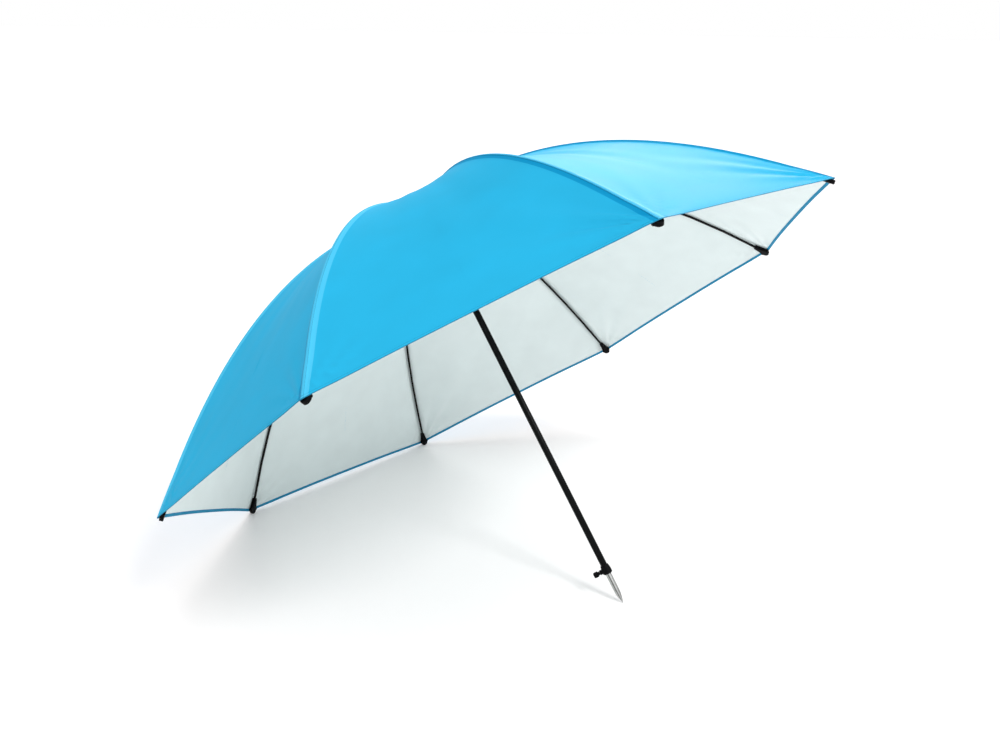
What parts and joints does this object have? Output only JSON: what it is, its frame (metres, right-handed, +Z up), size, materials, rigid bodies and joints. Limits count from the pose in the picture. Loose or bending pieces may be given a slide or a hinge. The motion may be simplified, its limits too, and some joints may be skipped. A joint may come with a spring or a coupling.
{
  "type": "fishing umbrella",
  "caption": "Large open fishing umbrella with a domed cloth canopy, sliding runner, hinged ribs and stretchers, and a two-part pole with a clamp collar and a ground spike.",
  "frame": {"origin": "on the ground under the middle of the open umbrella, which lies on its spike and two rib tips", "axes": "+Z up; the pole leans in the XZ plane, its crown towards -X and its spike towards +X; +Y runs across the canopy"},
  "size_m": [1.5576, 1.969, 1.2796],
  "materials": {
    "black_anodised_tube": "glossy black anodised",
    "bare_aluminium": "brushed",
    "black_plastic": "moulded, slight sheen",
    "black_glass_fibre": "smooth pultruded rod",
    "steel_wire": "bright wire",
    "blue_cloth": "coated woven cloth, blue outside and silver-grey inside"
  },
  "bodies": {
    "umbrella": {"upper_tube": "black_anodised_tube", "crown": "black_plastic", "crown_ring": "steel_wire", "crown_cap": "black_plastic", "canopy": "blue_cloth", "collar": "black_plastic", "catch_spring": "steel_wire"},
    "runner": {"runner": "black_plastic", "runner_ring": "steel_wire"},
    "catch_button": {"catch_button": "black_plastic"},
    "lower_pole": {"lower_tube": "bare_aluminium", "spike": "bare_aluminium"},
    "thumb_screw": {"thumb_screw": "black_plastic"},
    "rib_1": {"rib_1": "black_glass_fibre", "rib_tip_1": "black_plastic", "rib_bracket_1": "black_plastic", "stretcher_rivet_1": "steel_wire"},
    "stretcher_1": {"stretcher_1": "black_glass_fibre"},
    "rib_2": {"rib_2": "black_glass_fibre", "rib_tip_2": "black_plastic", "rib_bracket_2": "black_plastic", "stretcher_rivet_2": "steel_wire"},
    "stretcher_2": {"stretcher_2": "black_glass_fibre"},
    "rib_3": {"rib_3": "black_glass_fibre", "rib_tip_3": "black_plastic", "rib_bracket_3": "black_plastic", "stretcher_rivet_3": "steel_wire"},
    "stretcher_3": {"stretcher_3": "black_glass_fibre"},
    "rib_4": {"rib_4": "black_glass_fibre", "rib_tip_4": "black_plastic", "rib_bracket_4": "black_plastic", "stretcher_rivet_4": "steel_wire"},
    "stretcher_4": {"stretcher_4": "black_glass_fibre"},
    "rib_5": {"rib_5": "black_glass_fibre", "rib_tip_5": "black_plastic", "rib_bracket_5": "black_plastic", "stretcher_rivet_5": "steel_wire"},
    "stretcher_5": {"stretcher_5": "black_glass_fibre"},
    "rib_6": {"rib_6": "black_glass_fibre", "rib_tip_6": "black_plastic", "rib_bracket_6": "black_plastic", "stretcher_rivet_6": "steel_wire"},
    "stretcher_6": {"stretcher_6": "black_glass_fibre"},
    "rib_7": {"rib_7": "black_glass_fibre", "rib_tip_7": "black_plastic", "rib_bracket_7": "black_plastic", "stretcher_rivet_7": "steel_wire"},
    "stretcher_7": {"stretcher_7": "black_glass_fibre"},
    "rib_8": {"rib_8": "black_glass_fibre", "rib_tip_8": "black_plastic", "rib_bracket_8": "black_plastic", "stretcher_rivet_8": "steel_wire"},
    "stretcher_8": {"stretcher_8": "black_glass_fibre"}
  },
  "joints": [
    {"name": "runner_slide", "type": "slide", "parent": "umbrella", "child": "runner", "axis": [0.6144, 0, -0.789], "range_m": [0, 0.5552], "deforming": ["canopy"]},
    {"name": "catch_press", "type": "slide", "parent": "umbrella", "child": "catch_button", "axis": [-0.789, 0, -0.6144], "range_m": [0, 0.0033], "stiffness_N_per_m": 400, "deforming": ["catch_spring"]},
    {"name": "lower_pole_slide", "type": "slide", "parent": "umbrella", "child": "lower_pole", "axis": [0.6144, 0, -0.789], "range_m": [0, 0.6]},
    {"name": "thumb_screw_turn", "type": "hinge", "parent": "umbrella", "child": "thumb_screw", "pos_m": [0.40935, 0, 0.08311], "axis": [-0.5579, -0.7071, -0.4345], "range_deg": [0, 360]},
    {"name": "rib_1_hinge", "type": "hinge", "parent": "umbrella", "child": "rib_1", "pos_m": [-0.33709, -0.02217, 1.02661], "axis": [0.7289, -0.3827, 0.5677], "range_deg": [0, 60.5]},
    {"name": "stretcher_1_hinge", "type": "hinge", "parent": "rib_1", "child": "stretcher_1", "pos_m": [-0.42113, -0.38476, 0.89009], "axis": [0.7289, -0.3827, 0.5677], "range_deg": [-109.1, 0]},
    {"name": "rib_2_hinge", "type": "hinge", "parent": "umbrella", "child": "rib_2", "pos_m": [-0.34733, -0.00918, 1.01863], "axis": [0.3019, -0.9239, 0.2351], "range_deg": [0, 60.5]},
    {"name": "stretcher_2_hinge", "type": "hinge", "parent": "rib_2", "child": "stretcher_2", "pos_m": [-0.59895, -0.15937, 0.7516], "axis": [0.3019, -0.9239, 0.2351], "range_deg": [-109.1, 0]},
    {"name": "rib_3_hinge", "type": "hinge", "parent": "umbrella", "child": "rib_3", "pos_m": [-0.34733, 0.00918, 1.01863], "axis": [-0.3019, -0.9239, -0.2351], "range_deg": [0, 60.5]},
    {"name": "stretcher_3_hinge", "type": "hinge", "parent": "rib_3", "child": "stretcher_3", "pos_m": [-0.59895, 0.15937, 0.7516], "axis": [-0.3019, -0.9239, -0.2351], "range_deg": [-109.1, 0]},
    {"name": "rib_4_hinge", "type": "hinge", "parent": "umbrella", "child": "rib_4", "pos_m": [-0.33709, 0.02217, 1.02661], "axis": [-0.7289, -0.3827, -0.5677], "range_deg": [0, 60.5]},
    {"name": "stretcher_4_hinge", "type": "hinge", "parent": "rib_4", "child": "stretcher_4", "pos_m": [-0.42113, 0.38476, 0.89009], "axis": [-0.7289, -0.3827, -0.5677], "range_deg": [-109.1, 0]},
    {"name": "rib_5_hinge", "type": "hinge", "parent": "umbrella", "child": "rib_5", "pos_m": [-0.32259, 0.02217, 1.0379], "axis": [-0.7289, 0.3827, -0.5677], "range_deg": [0, 60.5]},
    {"name": "stretcher_5_hinge", "type": "hinge", "parent": "rib_5", "child": "stretcher_5", "pos_m": [-0.16965, 0.38476, 1.08594], "axis": [-0.7289, 0.3827, -0.5677], "range_deg": [-109.1, 0]},
    {"name": "rib_6_hinge", "type": "hinge", "parent": "umbrella", "child": "rib_6", "pos_m": [-0.31235, 0.00918, 1.04588], "axis": [-0.3019, 0.9239, -0.2351], "range_deg": [0, 60.5]},
    {"name": "stretcher_6_hinge", "type": "hinge", "parent": "rib_6", "child": "stretcher_6", "pos_m": [0.00817, 0.15937, 1.22443], "axis": [-0.3019, 0.9239, -0.2351], "range_deg": [-109.1, 0]},
    {"name": "rib_7_hinge", "type": "hinge", "parent": "umbrella", "child": "rib_7", "pos_m": [-0.31235, -0.00918, 1.04588], "axis": [0.3019, 0.9239, 0.2351], "range_deg": [0, 60.5]},
    {"name": "stretcher_7_hinge", "type": "hinge", "parent": "rib_7", "child": "stretcher_7", "pos_m": [0.00817, -0.15937, 1.22443], "axis": [0.3019, 0.9239, 0.2351], "range_deg": [-109.1, 0]},
    {"name": "rib_8_hinge", "type": "hinge", "parent": "umbrella", "child": "rib_8", "pos_m": [-0.32259, -0.02217, 1.0379], "axis": [0.7289, 0.3827, 0.5677], "range_deg": [0, 60.5]},
    {"name": "stretcher_8_hinge", "type": "hinge", "parent": "rib_8", "child": "stretcher_8", "pos_m": [-0.16965, -0.38476, 1.08594], "axis": [0.7289, 0.3827, 0.5677], "range_deg": [-109.1, 0]}
  ],
  "couplings": [
    {"joint": "rib_1_hinge", "follows": "runner_slide", "rad_per_m": 1.9017},
    {"joint": "stretcher_1_hinge", "follows": "runner_slide", "rad_per_m": -3.4277},
    {"joint": "rib_2_hinge", "follows": "runner_slide", "rad_per_m": 1.9017},
    {"joint": "stretcher_2_hinge", "follows": "runner_slide", "rad_per_m": -3.4277},
    {"joint": "rib_3_hinge", "follows": "runner_slide", "rad_per_m": 1.9017},
    {"joint": "stretcher_3_hinge", "follows": "runner_slide", "rad_per_m": -3.4277},
    {"joint": "rib_4_hinge", "follows": "runner_slide", "rad_per_m": 1.9017},
    {"joint": "stretcher_4_hinge", "follows": "runner_slide", "rad_per_m": -3.4277},
    {"joint": "rib_5_hinge", "follows": "runner_slide", "rad_per_m": 1.9017},
    {"joint": "stretcher_5_hinge", "follows": "runner_slide", "rad_per_m": -3.4277},
    {"joint": "rib_6_hinge", "follows": "runner_slide", "rad_per_m": 1.9017},
    {"joint": "stretcher_6_hinge", "follows": "runner_slide", "rad_per_m": -3.4277},
    {"joint": "rib_7_hinge", "follows": "runner_slide", "rad_per_m": 1.9017},
    {"joint": "stretcher_7_hinge", "follows": "runner_slide", "rad_per_m": -3.4277},
    {"joint": "rib_8_hinge", "follows": "runner_slide", "rad_per_m": 1.9017},
    {"joint": "stretcher_8_hinge", "follows": "runner_slide", "rad_per_m": -3.4277}
  ]
}
